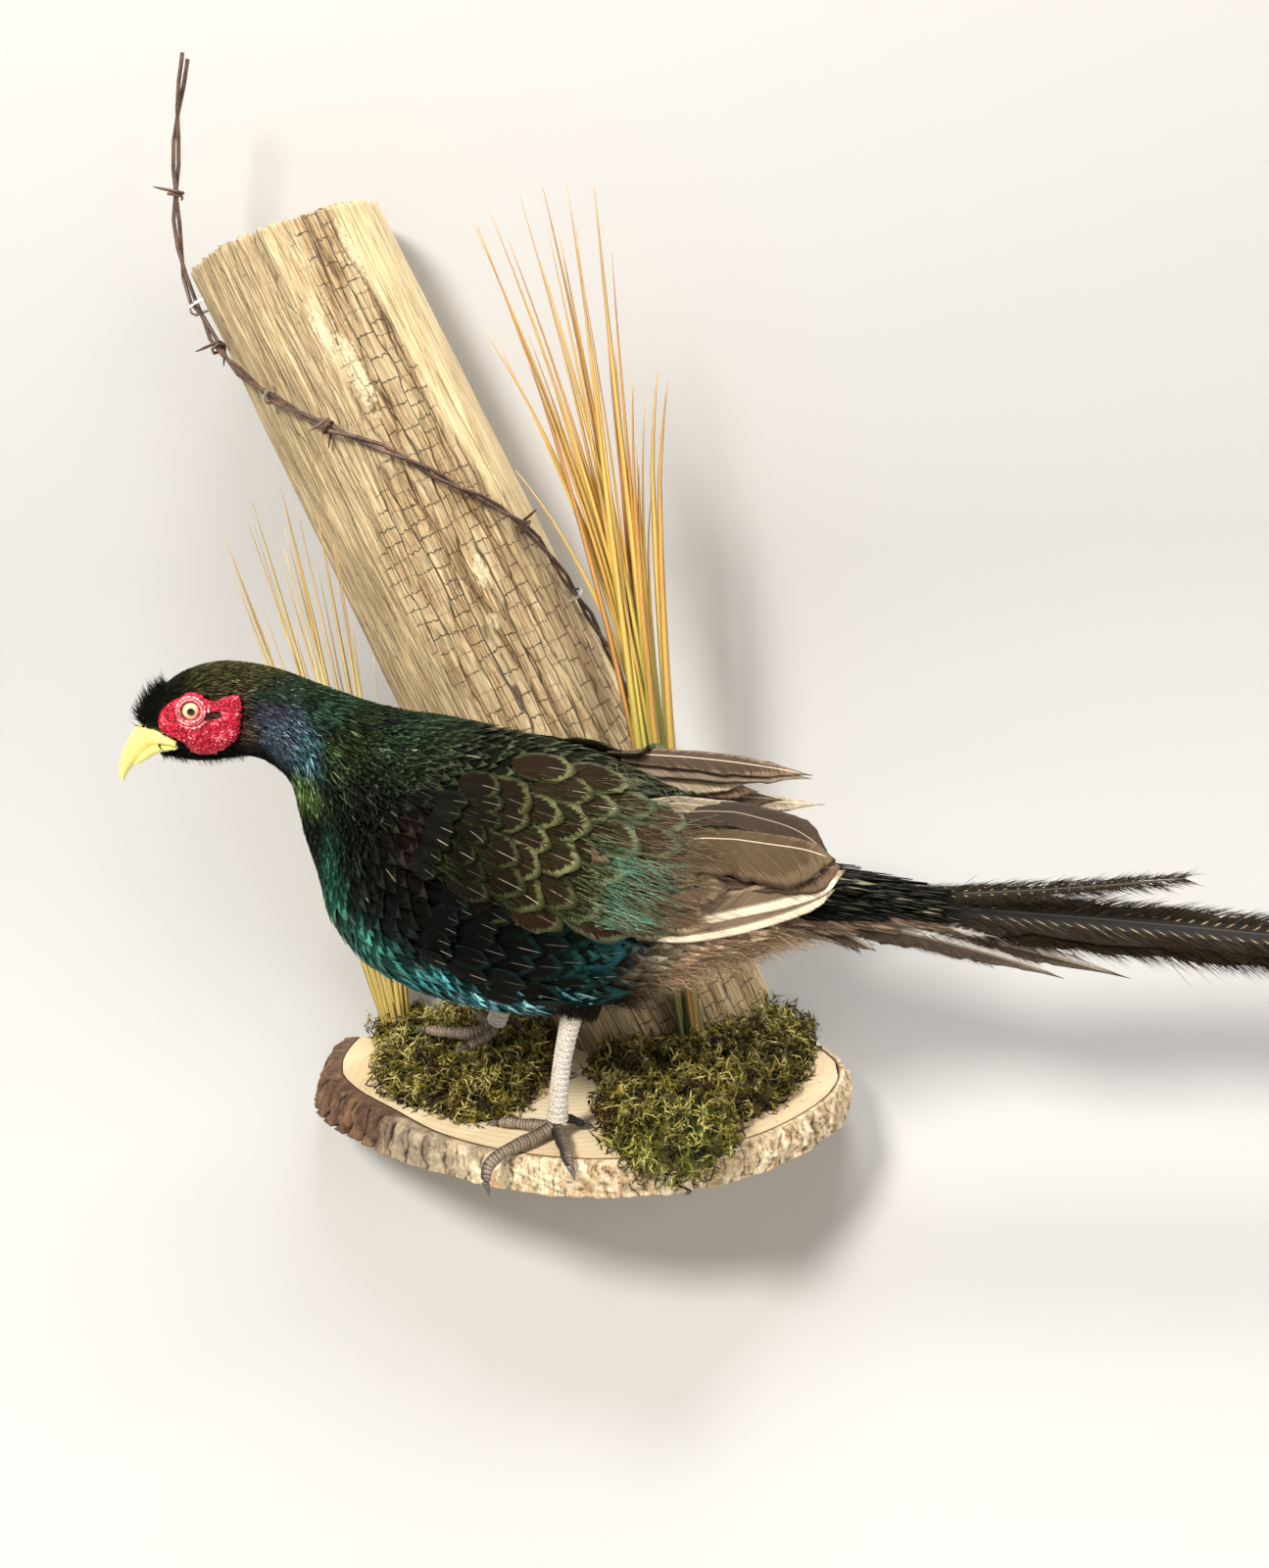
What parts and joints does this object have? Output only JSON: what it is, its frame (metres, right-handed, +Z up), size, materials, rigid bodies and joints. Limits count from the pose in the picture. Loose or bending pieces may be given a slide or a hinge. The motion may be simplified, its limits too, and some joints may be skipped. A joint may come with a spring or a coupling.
{
  "type": "wall-hung taxidermy mount of a melanistic cock pheasant",
  "caption": "Life-size black-green cock pheasant stepping forward on a log slice with a leaning fence post, rusty barbed wire, moss and dry grass, made to hang on a wall.",
  "frame": {"origin": "middle of the post's planed back, on the plane of the wall", "axes": "+Z up, +Y into the wall, so the room is at -Y; the bird's bill points to -X and its tail to +X, along the longest extent"},
  "size_m": [0.8078, 0.2636, 0.5818],
  "materials": {
    "face_skin": "bare crimson skin, finely warty, satin",
    "eye": "glass taxidermy eye with a cream iris and a small dark pupil, glossy",
    "bill": "pale cream horn, satin",
    "wing_feathers": "brown scapulars with olive-green rims, grey-brown flight feathers, silky",
    "tail_feathers": "blackish brown with fine pale barring, silky",
    "claw": "dark horn, satin",
    "leg_scales": "grey scutes, pale on the near shank, satin",
    "neck_feathers": "iridescent green and slate blue hair-like feathers",
    "body_feathers": "iridescent dark green and teal scale-like feathers",
    "slice_wood": "pale sawn wood with faint rings",
    "bark": "ridged brown bark with grey and orange lichen",
    "post_wood": "weathered fence post, deeply checked, grey-brown and cream",
    "moss": "dried olive and yellow-green moss",
    "grass": "dry cream, orange and green blades",
    "rusty_wire": "rust brown, rough",
    "zinc": "bright zinc-coated steel"
  },
  "bodies": {
    "root": {"face_skin_left": "face_skin", "eye_left": "eye", "face_skin_right": "face_skin", "eye_right": "eye", "head": "neck_feathers", "bill_upper": "bill", "bill_lower": "bill", "wing_left": "wing_feathers", "wing_right": "wing_feathers", "tail_coverts": "tail_feathers", "tail_centre": "tail_feathers", "tail_side_left": "tail_feathers", "tail_side_right": "tail_feathers", "claw_left_middle": "claw", "claw_left_inner": "claw", "claw_left_outer": "claw", "claw_left_back": "claw", "spur_left": "claw", "leg_left": "leg_scales", "claw_right_middle": "claw", "claw_right_inner": "claw", "claw_right_outer": "claw", "claw_right_back": "claw", "spur_right": "claw", "leg_right": "leg_scales", "neck": "neck_feathers", "thigh_left": "body_feathers", "thigh_right": "body_feathers", "trunk": "body_feathers", "slice_bark": "bark", "hanger_nail_1": "zinc", "hanger_nail_2": "zinc", "hanger": "zinc", "wire_strand_1": "rusty_wire", "wire_strand_2": "rusty_wire", "barb_1": "rusty_wire", "barb_2": "rusty_wire", "barb_3": "rusty_wire", "barb_4": "rusty_wire", "barb_5": "rusty_wire", "staple_1": "zinc", "staple_2": "zinc", "staple_3": "zinc", "staple_4": "zinc", "screw_1": "zinc", "screw_2": "zinc", "slice_wood": "slice_wood", "post": "post_wood", "grass_left": "grass", "grass_right": "grass", "moss_left": "moss", "moss_right": "moss"}
  },
  "joints": []
}
